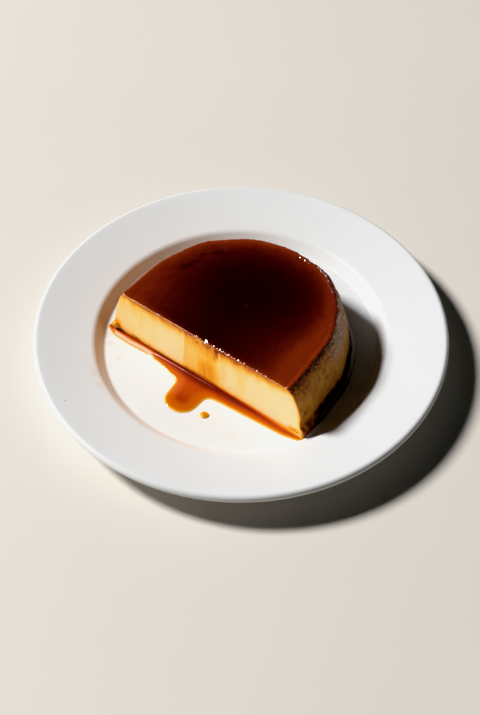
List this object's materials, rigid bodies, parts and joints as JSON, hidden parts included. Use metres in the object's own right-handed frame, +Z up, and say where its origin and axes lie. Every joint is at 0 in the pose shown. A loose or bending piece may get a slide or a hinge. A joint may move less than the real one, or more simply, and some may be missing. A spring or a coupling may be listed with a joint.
{
  "type": "creme caramel flan",
  "caption": "Cut creme caramel flan with a glossy dark caramel top and pale smooth cut face, resting in amber caramel sauce on a round white dinner plate.",
  "frame": {"origin": "centre of the plate's foot ring, on the table", "axes": "+Z up; +X along the flan's straight cut face; the cut face looks towards -Y"},
  "size_m": [0.26, 0.26, 0.0468],
  "materials": {
    "porcelain": "smooth white glaze",
    "custard": "moist, smooth baked custard",
    "caramel": "wet, glossy dark caramel",
    "sauce": "wet, clear amber caramel sauce"
  },
  "bodies": {
    "root": {"plate": "porcelain", "custard": "custard", "caramel_top": "caramel", "sauce_pool": "sauce", "sauce_drop": "sauce"}
  },
  "joints": []
}
